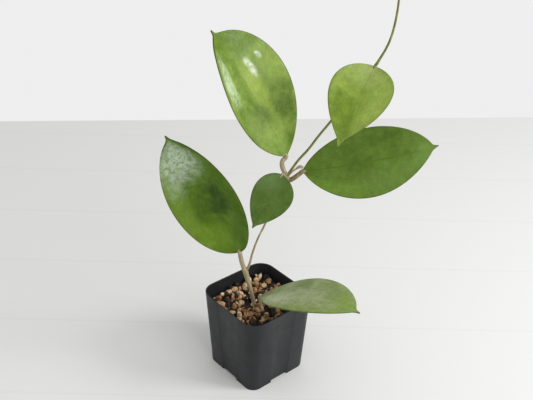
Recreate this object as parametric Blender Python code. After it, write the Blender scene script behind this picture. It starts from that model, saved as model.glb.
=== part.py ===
"""Potted hoya: a young climbing plant in a small square nursery pot.

The frame is the pot's: origin on the ground at the middle of its base, +Z up,
X and Y square to its sides. Lengths below are in millimetres and angles in
degrees; MM turns them into Blender's metres.
"""

import math
import random

import bmesh
import bpy
from mathutils import Euler, Matrix, Vector

MM = 0.001
GAP = 0.3                      # clearance between pieces that rest on each other
HOLE_GAP = 0.45                # clearance round the stem and roots in the mix

# Pot
POT_HEIGHT = 73.0
POT_TOP_SIDE = 70.0
POT_TOP_CORNER = 13.0
POT_FOOT_SIDE = 60.0
POT_FOOT_CORNER = 8.5
POT_FOOT_CHAMFER = 0.8
POT_WALL = 1.1
POT_FLOOR = 1.2
CHANNEL_WIDTH = 18.0           # drainage channels that run in from the four sides
CHANNEL_LENGTH = 18.0
CHANNEL_HEIGHT = 2.2
DRAIN_RADIUS = 3.0
DRAIN_INSET = 11.0             # from the foot's side to a drain hole's middle

# Potting mix
MIX_TOP = 60.5
MIX_RIPPLE = 0.5               # half the height of the bumps in its top
MIX_RINGS = 9
MIX_FLOOR_GAP = 0.3

# Loose grains on the mix
GRAIN_COUNT = 26
GRAIN_SEED = 11
GRAIN_TRIES = 4000
GRAIN_WALL_ROOM = 1.2
GRAIN_STEM_ROOM = 3.4
GRAIN_KINDS = ("pumice", "bark", "charcoal")

# Stems: stations are (x, y, z, radius)
MAIN_STEM = (
    (-0.6, -2.2, 50.0, 2.0),
    (-0.8, -2.6, 57.0, 2.1),
    (-1.0, -3.2, 62.0, 2.0),
    (-2.1, -5.2, 75.5, 1.65),
    (-3.7, -7.6, 87.0, 1.6),
    (-4.6, -8.9, 93.5, 1.8),
    (-5.0, -9.5, 96.5, 2.3),
    (-5.2, -9.8, 98.4, 1.9),
    (-5.3, -9.9, 99.0, 1.0),
)
SIDE_SHOOT = (
    (-3.6, -8.2, 99.6, 1.1),
    (-1.5, -5.0, 116.0, 0.85),
    (0.7, -2.3, 128.0, 0.8),
    (4.4, 2.3, 143.0, 0.8),
    (9.4, 7.7, 164.0, 0.85),
    (13.0, 11.3, 177.0, 0.95),
    (14.6, 12.8, 182.5, 1.5),
    (15.3, 13.4, 185.5, 2.3),
    (15.7, 13.7, 188.5, 2.2),
    (15.9, 13.9, 190.2, 1.5),
    (16.0, 14.0, 190.7, 0.8),
)
VINE = (
    (16.4, 14.9, 190.7, 0.9),
    (19.8, 20.5, 200.8, 0.8),
    (24.6, 25.9, 210.5, 0.8),
    (30.0, 31.4, 223.0, 0.75),
    (35.6, 37.1, 235.0, 0.75),
    (45.2, 47.4, 257.7, 0.75),
    (51.2, 54.2, 271.5, 0.8),
    (55.6, 58.6, 280.6, 1.2),
    (57.6, 60.9, 286.6, 0.8),
    (59.5, 63.0, 292.6, 0.7),
    (61.2, 64.9, 300.0, 0.7),
    (62.4, 66.2, 309.0, 0.7),
    (63.0, 67.0, 318.5, 0.65),
    (63.2, 67.3, 328.2, 0.65),
    (62.4, 66.6, 343.0, 0.6),
    (60.0, 64.0, 357.0, 0.6),
    (57.6, 61.2, 364.0, 0.9),
    (56.8, 60.2, 366.0, 0.4),
)
DRY_SPUR = (
    (18.1, 13.3, 189.8, 0.7),
    (20.3, 14.8, 193.4, 0.75),
    (22.4, 17.2, 196.4, 0.8),
    (23.9, 18.9, 197.9, 1.3),
    (25.2, 20.6, 197.6, 1.1),
    (25.7, 21.3, 197.3, 0.5),
)
STEM_STEP = 5.0
STEM_SIDES = 2                 # bevel resolution of a stem, which gives it eight sides

# Roots: a crown under the main stem and the roots that spread from it
ROOT_CROWN = (
    (-0.6, -2.2, 49.4, 2.2),
    (-0.4, -1.6, 44.0, 2.4),
    (0.2, -0.6, 36.0, 1.4),
    (0.4, 0.2, 22.0, 0.9),
    (-0.8, 1.0, 12.0, 0.6),
)
ROOT_COUNT = 5
ROOT_START = (-0.4, -1.6, 44.5)
ROOT_REACH = 20.0
ROOT_FALL = 24.0
ROOT_RADII = (1.3, 0.9, 0.5)

# Leaves
LEAF_THICKNESS = 1.3
LEAF_SIDES = 16                # points round a leaf's cross-section
LEAF_STATIONS = 17             # cross-sections along a blade
STALK_STEP = 4.0
TIP_LENGTH = 0.08              # drawn-out tip, as a share of the blade's length
TIP_WIDTH = 0.12
TIP_LEAF = {"thickness": 0.7, "sides": 8, "stations": 9}    # unopened leaves


def clear_scene():
    for item in list(bpy.data.objects):
        bpy.data.objects.remove(item)


def new_collection(name):
    collection = bpy.data.collections.new(name)
    bpy.context.scene.collection.children.link(collection)
    return collection


def make_material(name, colour, roughness):
    material = bpy.data.materials.new(name)
    material.use_nodes = True
    shader = material.node_tree.nodes["Principled BSDF"]
    shader.inputs["Base Color"].default_value = (*colour, 1.0)
    shader.inputs["Roughness"].default_value = roughness
    shader.inputs["Metallic"].default_value = 0.0
    return material


def add_piece(name, mesh, material):
    piece = bpy.data.objects.new(name, mesh)
    mesh.materials.clear()
    mesh.materials.append(material)
    mesh.shade_smooth()
    mesh.set_sharp_from_angle(angle=math.radians(35))
    PARTS.objects.link(piece)
    return piece


def add_cutter(name, mesh):
    cutter = bpy.data.objects.new(name, mesh)
    cutter.hide_render = True
    cutter.display_type = "WIRE"
    CUTTERS.objects.link(cutter)
    return cutter


def apply_boolean(piece, others, operation):
    for other in others:
        modifier = piece.modifiers.new(other.name, "BOOLEAN")
        modifier.operation = operation
        modifier.solver = "EXACT"
        modifier.object = other


def mesh_from(bm, name):
    bmesh.ops.recalc_face_normals(bm, faces=bm.faces)
    mesh = bpy.data.meshes.new(name)
    bm.to_mesh(mesh)
    bm.free()
    return mesh


def loft(name, rings, peak=None):
    """A closed mesh through rings of points that all have the same count.

    Its ends are flat, or the last one rises to the peak.
    """
    bm = bmesh.new()
    rows = [[bm.verts.new(Vector(point) * MM) for point in ring] for ring in rings]
    count = len(rows[0])
    for low, high in zip(rows, rows[1:]):
        for i in range(count):
            j = (i + 1) % count
            bm.faces.new((low[i], low[j], high[j], high[i]))
    bm.faces.new(rows[0])
    if peak is None:
        bm.faces.new(rows[-1])
    else:
        top = bm.verts.new(Vector(peak) * MM)
        for i in range(count):
            bm.faces.new((rows[-1][i], rows[-1][(i + 1) % count], top))
    return mesh_from(bm, name)


def box(name, centre, size):
    bm = bmesh.new()
    bmesh.ops.create_cube(bm, size=1.0)
    bmesh.ops.scale(bm, vec=Vector(size) * MM, verts=bm.verts)
    bmesh.ops.translate(bm, vec=Vector(centre) * MM, verts=bm.verts)
    return mesh_from(bm, name)


def upright_cylinder(name, centre, radius, height):
    bm = bmesh.new()
    bmesh.ops.create_cone(bm, cap_ends=True, segments=20, radius1=radius * MM,
                          radius2=radius * MM, depth=height * MM)
    bmesh.ops.translate(bm, vec=Vector(centre) * MM, verts=bm.verts)
    return mesh_from(bm, name)


def smooth_path(stations, step):
    """Points about one step apart on a smooth curve through the stations."""
    points = [Vector(station) for station in stations]
    points = [2 * points[0] - points[1]] + points + [2 * points[-1] - points[-2]]
    path = []
    for a, b, c, d in zip(points, points[1:], points[2:], points[3:]):
        count = max(1, round((c - b).xyz.length / step))
        for i in range(count):
            t = i / count
            path.append(0.5 * (2 * b + (c - a) * t + (2 * a - 5 * b + 4 * c - d) * t * t
                               + (3 * b - a - 3 * c + d) * t ** 3))
    path.append(points[-2])
    return path


def tube_mesh(name, stations, step=STEM_STEP, grow=0.0):
    """A round stem through the stations, as a mesh with its end caps welded on."""
    path = smooth_path(stations, step)
    curve = bpy.data.curves.new(name, "CURVE")
    curve.dimensions = "3D"
    curve.bevel_depth = MM
    curve.bevel_resolution = STEM_SIDES
    curve.use_fill_caps = True
    spline = curve.splines.new("POLY")
    spline.points.add(len(path) - 1)
    for point, (x, y, z, radius) in zip(spline.points, path):
        point.co = (x * MM, y * MM, z * MM, 1.0)
        point.radius = radius + grow
    guide = bpy.data.objects.new(name, curve)
    CUTTERS.objects.link(guide)
    bpy.context.view_layer.update()
    evaluated = guide.evaluated_get(bpy.context.evaluated_depsgraph_get())
    mesh = bpy.data.meshes.new_from_object(evaluated)
    bpy.data.objects.remove(guide)
    bm = bmesh.new()
    bm.from_mesh(mesh)
    bmesh.ops.remove_doubles(bm, verts=bm.verts, dist=0.00001)
    bpy.data.meshes.remove(mesh)
    return mesh_from(bm, name)


def rounded_square(side, corner, z, corner_steps=5, edge_steps=4):
    """Points anticlockwise round a square with round corners, centred on the Z axis."""
    reach = side / 2 - corner
    ring = []
    for quarter in range(4):
        turn = Matrix.Rotation(math.radians(90 * quarter), 3, "Z")
        for i in range(corner_steps + 1):
            angle = math.radians(90 * i / corner_steps)
            x = reach + corner * math.cos(angle)
            y = reach + corner * math.sin(angle)
            ring.append(turn @ Vector((x, y, z)))
        for i in range(1, edge_steps):
            x = reach * (1 - 2 * i / edge_steps)
            ring.append(turn @ Vector((x, side / 2, z)))
    return ring


def pot_side(z):
    return POT_FOOT_SIDE + (POT_TOP_SIDE - POT_FOOT_SIDE) * z / POT_HEIGHT


def pot_corner(z):
    return POT_FOOT_CORNER + (POT_TOP_CORNER - POT_FOOT_CORNER) * z / POT_HEIGHT


def pot_ring(z, inset):
    """The pot's outline at height z, moved in by the inset."""
    return rounded_square(pot_side(z) - 2 * inset, pot_corner(z) - inset, z)


def channel_box(name, quarter, grow, height_from, height_to, reach_out):
    """A box along the drainage channel of one side, grown all round."""
    length = CHANNEL_LENGTH + grow + reach_out
    middle = POT_FOOT_SIDE / 2 - CHANNEL_LENGTH - grow + length / 2
    mesh = box(name, (middle, 0, (height_from + height_to) / 2),
               (length, CHANNEL_WIDTH + 2 * grow, height_to - height_from))
    mesh.transform(Matrix.Rotation(math.radians(90 * quarter), 4, "Z"))
    return mesh


def build_pot(material):
    outer = [pot_ring(0, POT_FOOT_CHAMFER), pot_ring(POT_FOOT_CHAMFER, 0),
             pot_ring(POT_HEIGHT / 2, 0), pot_ring(POT_HEIGHT, 0)]
    pot = add_piece("pot", loft("pot", outer), material)
    over_rim = POT_HEIGHT + 5
    hollow = loft("pot_hollow", [pot_ring(POT_FLOOR, POT_WALL), pot_ring(over_rim, POT_WALL)])
    hollow = add_cutter("pot_hollow", hollow)
    covers = [add_cutter(f"channel_cover_{i}",
                         channel_box(f"channel_cover_{i}", i, POT_WALL,
                                     -1, CHANNEL_HEIGHT + POT_FLOOR, 6))
              for i in range(4)]
    apply_boolean(hollow, covers, "DIFFERENCE")
    channels = [add_cutter(f"channel_{i}",
                           channel_box(f"channel_{i}", i, 0, -1, CHANNEL_HEIGHT, 6))
                for i in range(4)]
    drains = []
    for i in range(4):
        turn = Matrix.Rotation(math.radians(90 * i), 3, "Z")
        centre = turn @ Vector((POT_FOOT_SIDE / 2 - DRAIN_INSET, 0, CHANNEL_HEIGHT))
        mesh = upright_cylinder(f"drain_{i}", centre, DRAIN_RADIUS, 2 * CHANNEL_HEIGHT)
        drains.append(add_cutter(f"drain_{i}", mesh))
    apply_boolean(pot, [hollow] + channels + drains, "DIFFERENCE")


def mix_height(x, y):
    """Height of the mix's bumpy top."""
    waves = math.sin(x / 5.2 + 0.7) * math.cos(y / 6.1) + 0.5 * math.sin((x - y) / 4.3)
    return MIX_TOP + MIX_RIPPLE * waves


def root_stations():
    """The crown, then each side root, as lists of (x, y, z, radius)."""
    roots = [ROOT_CROWN]
    start = Vector(ROOT_START)
    for i in range(ROOT_COUNT):
        angle = math.tau * i / ROOT_COUNT + 0.4
        out = Vector((math.cos(angle), math.sin(angle), 0))
        side = Vector((-out.y, out.x, 0))
        fall = ROOT_FALL + 5 * math.sin(2.3 * i)
        middle = start + 0.55 * ROOT_REACH * out + Vector((0, 0, -0.35 * fall)) + 2 * side
        end = start + ROOT_REACH * out + Vector((0, 0, -fall))
        points = zip((start, middle, end), ROOT_RADII)
        roots.append([(*point, radius) for point, radius in points])
    return roots


def build_mix_and_roots(mix_material, root_material):
    low = POT_FLOOR + MIX_FLOOR_GAP
    wall_gap = POT_WALL + GAP
    rings = [pot_ring(low, wall_gap), pot_ring(MIX_TOP, wall_gap)]
    for i in range(MIX_RINGS):
        share = 1 - (i + 0.5) / (MIX_RINGS + 0.5)
        top = pot_ring(MIX_TOP, wall_gap)
        rings.append([Vector((p.x * share, p.y * share, mix_height(p.x * share, p.y * share)))
                      for p in top])
    peak = (0, 0, mix_height(0, 0))
    mix = add_piece("potting_mix", loft("potting_mix", rings, peak), mix_material)
    cuts = [add_cutter(f"mix_over_channel_{i}",
                       channel_box(f"mix_over_channel_{i}", i, POT_WALL + GAP,
                                   -1, CHANNEL_HEIGHT + POT_FLOOR + GAP, 6))
            for i in range(4)]
    hole = [(x, y, z, r) for x, y, z, r in MAIN_STEM if z < 80]
    first = Vector(hole[0])
    hole.insert(0, (first.x, first.y, first.z - 2 * GAP, first.w))
    cuts.append(add_cutter("planting_hole", tube_mesh("planting_hole", hole, grow=HOLE_GAP)))
    stations = root_stations()
    for i, root in enumerate(stations):
        name = f"root_hole_{i}"
        first, second, before, last = (Vector(root[k]) for k in (0, 1, -2, -1))
        sooner = first + (first - second).normalized() * 4 * GAP
        later = last + (last - before).normalized() * GAP
        longer = [tuple(sooner)] + list(root[1:-1]) + [tuple(later)]
        cuts.append(add_cutter(name, tube_mesh(name, longer, grow=HOLE_GAP)))
    apply_boolean(mix, cuts, "DIFFERENCE")
    roots = add_piece("roots", tube_mesh("roots", stations[0]), root_material)
    side_roots = [add_cutter(f"side_root_{i}", tube_mesh(f"side_root_{i}", root))
                  for i, root in enumerate(stations[1:])]
    apply_boolean(roots, side_roots, "UNION")


def grain_mesh(name, size, chance):
    """A broken, uneven grain that sits with its lowest point at height nought."""
    bm = bmesh.new()
    bmesh.ops.create_icosphere(bm, subdivisions=2, radius=1.0)
    for vert in bm.verts:
        vert.co *= chance.uniform(0.86, 1.08)
    stretch = Vector((size, size * chance.uniform(0.65, 0.95), size * chance.uniform(0.55, 0.8)))
    bmesh.ops.scale(bm, vec=stretch * MM, verts=bm.verts)
    turn = Euler((chance.uniform(-0.4, 0.4), chance.uniform(-0.4, 0.4), chance.uniform(0, 6.3)))
    bmesh.ops.rotate(bm, matrix=turn.to_matrix(), verts=bm.verts)
    return mesh_from(bm, name)


def build_grains(materials):
    chance = random.Random(GRAIN_SEED)
    stem = Vector(MAIN_STEM[2]).xy
    stalk = Vector(LOWER_STALK[0]).xy
    inside = pot_side(MIX_TOP) / 2 - POT_WALL - GRAIN_WALL_ROOM
    corner = pot_corner(MIX_TOP)
    placed = []
    counts = dict.fromkeys(GRAIN_KINDS, 0)
    for _ in range(GRAIN_TRIES):
        if len(placed) == GRAIN_COUNT:
            break
        kind = GRAIN_KINDS[len(placed) % len(GRAIN_KINDS)]
        size = chance.uniform(2.2, 4.0)
        spot = Vector((chance.uniform(-inside, inside), chance.uniform(-inside, inside)))
        reach = size * 1.12
        over = Vector((max(0, abs(spot.x) - (inside - corner)),
                       max(0, abs(spot.y) - (inside - corner))))
        if over.length > corner - reach:
            continue
        if (spot - stem).length < reach + GRAIN_STEM_ROOM:
            continue
        if (spot - stalk).length < reach + GRAIN_STEM_ROOM:
            continue
        if any((spot - other).length < reach + room + GAP for other, room in placed):
            continue
        placed.append((spot, reach))
        counts[kind] += 1
        name = f"{kind}_{counts[kind]:02d}"
        mesh = grain_mesh(name, size, chance)
        grain = add_piece(name, mesh, materials[kind])
        rise = max(mix_height(spot.x + v.co.x / MM, spot.y + v.co.y / MM) - v.co.z / MM
                   for v in mesh.vertices)
        grain.location = Vector((spot.x, spot.y, rise + GAP)) * MM


def blade_width(t, base_fullness, tip_fullness):
    """Half-width along a blade, 1 at its widest, with a short drawn-out tip."""
    body_length = 1 - TIP_LENGTH / 2
    u = min(t / body_length, 1.0)
    widest = base_fullness / (base_fullness + tip_fullness)
    most = widest ** base_fullness * (1 - widest) ** tip_fullness
    body = u ** base_fullness * (1 - u) ** tip_fullness / most
    point = TIP_WIDTH * min((1 - t) / TIP_LENGTH, 1.0) if t > 0.5 else 0.0
    return max(body, point)


def build_leaf(name, material, stalk, base, heading, pitch, roll, length, width,
               base_fullness, tip_fullness, bend, cup, twist, lean=0.0,
               thickness=LEAF_THICKNESS, sides=LEAF_SIDES, stations=LEAF_STATIONS):
    """One leaf: a round stalk that widens into a thin blade.

    The blade runs along its own +Y with its upper face towards +Z. bend turns it
    down along its length, cup raises its margins, twist turns it about its length
    and lean makes the +X half wider.
    """
    turn = Euler((math.radians(pitch), math.radians(roll), math.radians(heading)), "YXZ")
    matrix = turn.to_matrix()
    base = Vector(base)
    forward = matrix @ Vector((0, 1, 0))
    across = matrix @ Vector((1, 0, 0))
    stalk_radius = stalk[-1][3]
    inside_blade = base + STALK_STEP * forward
    joined = list(stalk) + [(*base, stalk_radius), (*inside_blade, stalk_radius)]
    path = smooth_path(joined, STALK_STEP)[:-2]
    angles = [math.tau * i / sides for i in range(sides)]
    rings = []
    for i, point in enumerate(path):
        ahead = path[i + 1].xyz if i + 1 < len(path) else base
        along = (ahead - path[max(i - 1, 0)].xyz).normalized()
        side = (across - across.dot(along) * along).normalized()
        up = side.cross(along)
        rings.append([point.xyz + point.w * (math.cos(a) * side + math.sin(a) * up)
                      for a in angles])
    bend, cup, twist = (math.radians(value) for value in (bend, cup, twist))
    for i in range(stations):
        t = 0.5 - 0.5 * math.cos(math.pi * i / (stations - 1))
        slope = -bend * t
        y = length * math.sin(bend * t) / bend
        z = -length * (1 - math.cos(bend * t)) / bend
        flat = min(t / 0.1, 1.0)
        blend = flat * flat * (3 - 2 * flat)
        half = max(width / 2 * blade_width(t, base_fullness, tip_fullness),
                   stalk_radius * (1 - blend), thickness / 4)
        thick = stalk_radius * (1 - blend) + thickness / 2 * blend
        thick = min(thick, half)
        ring = []
        for a in angles:
            s = math.cos(a)
            reach = half * (1 + lean * s * blend)
            x = reach * math.sin(cup * s) / cup
            lift = reach * (1 - math.cos(cup * s)) / cup + thick * math.sin(a)
            turned_x = x * math.cos(twist * t) - lift * math.sin(twist * t)
            turned_z = x * math.sin(twist * t) + lift * math.cos(twist * t)
            local = Vector((turned_x, y - turned_z * math.sin(slope),
                            z + turned_z * math.cos(slope)))
            ring.append(base + matrix @ local)
        rings.append(ring)
    add_piece(name, loft(name, rings), material)


LOWER_STALK = ((7.9, -1.8, 62.4, 1.5), (6.6, -1.6, 65.5, 1.4), (4.6, -1.7, 69.4, 1.4))


def build_leaves(materials):
    build_leaf("left_leaf", materials["leaf_dark"],
               stalk=((-5.9, -11.6, 99.6, 1.6), (-6.2, -12.6, 107.3, 1.5),
                      (-6.6, -13.6, 113.0, 1.45)),
               base=(-6.7, -14.4, 117.4), heading=97, pitch=58, roll=-68.5,
               length=117.4, width=64.3, base_fullness=0.52, tip_fullness=0.65,
               bend=-35.8, cup=38.0, twist=-6.2, lean=-0.118)
    build_leaf("top_leaf", materials["leaf_bright"],
               stalk=((15.9, 12.2, 190.6, 1.3), (14.6, 9.9, 196.1, 1.5),
                      (13.3, 10.4, 200.4, 1.4)),
               base=(14.0, 13.6, 205.0), heading=158, pitch=64, roll=-73,
               length=113.8, width=66.5, base_fullness=0.81, tip_fullness=0.55,
               bend=16.3, cup=29.5, twist=-34.0, lean=0.09)
    build_leaf("right_leaf", materials["leaf_dark"],
               stalk=((17.6, 16.0, 184.9, 1.6), (19.8, 18.6, 187.3, 1.5),
                      (21.4, 21.2, 189.8, 1.45)),
               base=(22.8, 23.7, 191.9), heading=-39.7, pitch=8.5, roll=81.3,
               length=110.5, width=59.3, base_fullness=0.75, tip_fullness=0.79,
               bend=22.5, cup=14.5, twist=-6.1)
    build_leaf("small_leaf", materials["leaf_dark"],
               stalk=((16.8, 10.7, 188.3, 1.0), (17.4, 9.0, 191.2, 1.0),
                      (17.9, 7.3, 193.3, 1.0)),
               base=(18.2, 6.0, 193.0), heading=187, pitch=-51, roll=-64.7,
               length=46.5, width=36.9, base_fullness=0.57, tip_fullness=0.93,
               bend=9.8, cup=14.7, twist=3.0)
    build_leaf("vine_leaf", materials["leaf_bright"],
               stalk=((56.5, 56.7, 279.6, 1.0), (57.2, 56.3, 280.4, 1.0)),
               base=(57.4, 55.8, 280.8), heading=196, pitch=-36.5, roll=-10.0,
               length=63.8, width=47.5, base_fullness=0.56, tip_fullness=1.0,
               bend=17.4, cup=23.3, twist=-3.3)
    build_leaf("lower_leaf", materials["leaf_grey"], stalk=LOWER_STALK,
               base=(4.3, -1.8, 72.5), heading=-82.3, pitch=41.2, roll=5.5,
               length=106.7, width=57.2, base_fullness=1.04, tip_fullness=0.75,
               bend=43.0, cup=2.0, twist=12.4)
    build_leaf("tip_leaf_1", materials["leaf_bright"],
               stalk=((58.8, 60.6, 364.6, 0.4), (59.0, 60.5, 365.4, 0.4)),
               base=(59.0, 60.4, 366.2), heading=-75, pitch=78, roll=0,
               length=8.5, width=2.8, base_fullness=0.8, tip_fullness=0.9,
               bend=-30, cup=45, twist=1, **TIP_LEAF)
    build_leaf("tip_leaf_2", materials["leaf_bright"],
               stalk=((55.8, 61.2, 364.6, 0.4), (55.6, 61.2, 365.4, 0.4)),
               base=(55.5, 61.1, 366.2), heading=105, pitch=82, roll=0,
               length=7.5, width=2.6, base_fullness=0.8, tip_fullness=0.9,
               bend=-30, cup=45, twist=1, **TIP_LEAF)


clear_scene()
PARTS = new_collection("potted_hoya")
CUTTERS = new_collection("cutters")
LEAF_COLOURS = {
    "leaf_dark": make_material("leaf_dark", (0.07, 0.15, 0.02), 0.4),
    "leaf_bright": make_material("leaf_bright", (0.24, 0.36, 0.08), 0.4),
    "leaf_grey": make_material("leaf_grey", (0.22, 0.30, 0.15), 0.5),
}
build_pot(make_material("pot_plastic", (0.035, 0.036, 0.04), 0.55))
build_mix_and_roots(make_material("mix", (0.08, 0.05, 0.03), 0.95),
                    make_material("root", (0.55, 0.45, 0.32), 0.8))
build_grains({"pumice": make_material("pumice", (0.62, 0.47, 0.32), 0.9),
              "bark": make_material("bark", (0.42, 0.22, 0.11), 0.9),
              "charcoal": make_material("charcoal", (0.03, 0.025, 0.02), 0.8)})
WOOD = make_material("old_stem", (0.40, 0.31, 0.19), 0.75)
GREEN_STEM = make_material("young_stem", (0.22, 0.21, 0.07), 0.6)
add_piece("main_stem", tube_mesh("main_stem", MAIN_STEM), WOOD)
add_piece("side_shoot", tube_mesh("side_shoot", SIDE_SHOOT), WOOD)
add_piece("vine", tube_mesh("vine", VINE), GREEN_STEM)
add_piece("dry_spur", tube_mesh("dry_spur", DRY_SPUR, step=2.0), WOOD)
build_leaves(LEAF_COLOURS)
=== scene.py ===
"""Potted hoya: the finished surfaces of the young plant, its pot and its mix.

Lengths in the tables and functions are millimetres unless they say otherwise;
MM turns them into metres when a shape is placed.
"""

import math
import random

import bmesh
import bpy
from mathutils import Euler, Matrix, Vector

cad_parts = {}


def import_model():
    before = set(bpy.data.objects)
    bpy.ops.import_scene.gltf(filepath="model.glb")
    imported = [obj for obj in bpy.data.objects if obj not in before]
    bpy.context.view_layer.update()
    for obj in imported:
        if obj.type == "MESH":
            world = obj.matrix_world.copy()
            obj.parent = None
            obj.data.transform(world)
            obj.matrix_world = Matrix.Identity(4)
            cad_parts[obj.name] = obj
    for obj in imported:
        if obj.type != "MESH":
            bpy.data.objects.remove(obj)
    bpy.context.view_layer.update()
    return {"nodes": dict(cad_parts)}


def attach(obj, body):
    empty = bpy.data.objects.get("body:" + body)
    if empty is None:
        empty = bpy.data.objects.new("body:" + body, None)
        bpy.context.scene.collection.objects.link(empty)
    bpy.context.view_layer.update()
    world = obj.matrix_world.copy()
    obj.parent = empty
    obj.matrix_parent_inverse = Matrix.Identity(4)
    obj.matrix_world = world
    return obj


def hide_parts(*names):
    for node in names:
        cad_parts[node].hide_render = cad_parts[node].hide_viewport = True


MM = 0.001
BODY = "root"

# Pot
POT_HEIGHT = 73.0
POT_TOP_SIDE = 70.0
POT_TOP_CORNER = 13.0
POT_FOOT_SIDE = 60.0
POT_FOOT_CORNER = 8.5
POT_WALL = 1.1
POT_FLOOR = 1.2
CORNER_STEPS = 10
PANEL_DEPTH = 0.26             # how far the middle of each side is set back
PANEL_FOOT_HALF = 9.0
PANEL_TOP_HALF = 12.5
PANEL_STEP = 0.6
CHANNEL_WIDTH = 18.0
CHANNEL_LENGTH = 18.0
CHANNEL_HEIGHT = 2.2
DRAIN_RADIUS = 3.0
DRAIN_INSET = 11.0
DRAIN_SIDES = 32
CUTTER_SPARE = 6.0             # how far a cutter reaches past the wall it cuts
RIM_SPARE = 5.0                # how far the hollow's cutter stands above the rim
POT_EDGE = 0.28                # roundness of the pot's edges

# Leaves
BLADE_COLUMNS = 14
BLADE_ROWS = 40
BLADE_THICKNESS = 1.25
TIP_LENGTH = 0.08
TIP_WIDTH = 0.12
ROW_CROWDING = 0.65            # share of the rows' spacing that crowds to the ends
MIDRIB_GROOVE = -0.012         # depth of the midrib, in half-widths
FOOT_WIDTH = 0.8               # the blade's least half-width at its foot, in stalk radii
FOOT_LENGTH = 0.08             # share of the blade over which that width fades out
LEAST_HALF_WIDTH = 0.3
GUIDE_STEP = (0.137, 0.071, 0.053)      # metres from one leaf's waves to the next one's
WAVE_SIZE = 24.0               # size of the low waves in a blade
STALK_INSIDE = 2.5             # how far a stalk runs on inside its blade
STALK_END = 0.55               # its radius there, as a share

# Stems
STEM_STEPS = 10
STEM_SIDES = 2
STEM_WRINKLE = 0.12
WRINKLE_SIZE = 3.0

# Potting mix
MIX_TOP = 61.0
LOOSE_SEED = 5
LOOSE_LAYERS = (               # count, lowest and highest place, least and most radius
    (240, 58.5, 61.0, 2.2, 4.0),
    (135, 61.5, 64.5, 2.2, 4.0),
    (60, 61.5, 63.5, 1.0, 1.8),
)
LOOSE_REACH = 34.0             # grains are tried this far from the middle
LOOSE_MARGIN = 0.9             # room kept to the wall, in grain radii
GRAIN_KINDS = 7
GRAIN_CUTS = 8

# Camera and light
CAMERA_PLACE = (435.3, -371.7, 507.1)
CAMERA_HEADING = 48.97
CAMERA_DIP = 30.905
CAMERA_ROLL = 1.431
CAMERA_LENS = 57.41
FLOOR_BEHIND = 490.0
FLOOR_YAW = 4.3
BOARD_WIDTH = 96.0
FLOOR_REACH = 1600.0
LAMP_AIM_HEIGHT = 0.15         # this and the lamps' places and sizes are metres
WINDOW_PLACE = (1.1, -0.2, 0.68)
WINDOW_SIZE = (0.4, 0.55)
WINDOW_POWER = 8.0
ROOM_PLACE = (0.8, -0.9, 1.1)
ROOM_SIZE = (0.9, 0.9)
ROOM_POWER = 5.5
AIR_LIGHT = 0.62
WALL_GREY = (0.86, 0.86, 0.86, 1.0)


# ---------------------------------------------------------------- hand tools


def deselect():
    bpy.ops.object.select_all(action="DESELECT")


def only(piece):
    deselect()
    piece.select_set(True)
    bpy.context.view_layer.objects.active = piece


def edit(piece):
    only(piece)
    bpy.ops.object.mode_set(mode="EDIT")


def leave_edit():
    bpy.ops.object.mode_set(mode="OBJECT")


def pick_verts(piece, wanted):
    """In edit mode, selects the vertices whose index and place are wanted."""
    bm = bmesh.from_edit_mesh(piece.data)
    for vert in bm.verts:
        vert.select = wanted(vert)
    bm.select_flush_mode()
    bmesh.update_edit_mesh(piece.data)


def pick_faces(piece, wanted):
    """In edit mode, selects the faces that are wanted."""
    bm = bmesh.from_edit_mesh(piece.data)
    for face in bm.faces:
        face.select_set(False)
    for face in [face for face in bm.faces if wanted(face)]:
        face.select_set(True)
    bmesh.update_edit_mesh(piece.data)


def turn_by(angle, axis, centre):
    """Turns the selection right-handed about an axis through the centre."""
    bpy.ops.transform.rotate(value=-angle, orient_axis=axis, orient_type="GLOBAL",
                             center_override=centre)


def add_modifier(piece, kind, **settings):
    modifier = piece.modifiers.new(kind.lower(), kind)
    for key, value in settings.items():
        setattr(modifier, key, value)
    only(piece)
    bpy.ops.object.modifier_apply(modifier=modifier.name)


def place(piece):
    """Leaves the object at the origin, with its place in its mesh."""
    only(piece)
    bpy.ops.object.transform_apply(location=True, rotation=True, scale=True)


def smooth(piece, angle):
    only(piece)
    bpy.ops.object.shade_smooth_by_angle(angle=math.radians(angle))


def clean(piece, distance=0.00001):
    edit(piece)
    bpy.ops.mesh.select_all(action="SELECT")
    bpy.ops.mesh.remove_doubles(threshold=distance)
    bpy.ops.mesh.normals_make_consistent(inside=False)
    leave_edit()


def finish_piece(piece, name, nodes=()):
    piece.name = name
    piece.data.name = name
    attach(piece, BODY)
    if nodes:
        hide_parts(*nodes)
    return piece


def join(pieces):
    deselect()
    for piece in pieces:
        piece.select_set(True)
    bpy.context.view_layer.objects.active = pieces[0]
    bpy.ops.object.join()
    return pieces[0]


# ---------------------------------------------------------------- materials


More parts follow.
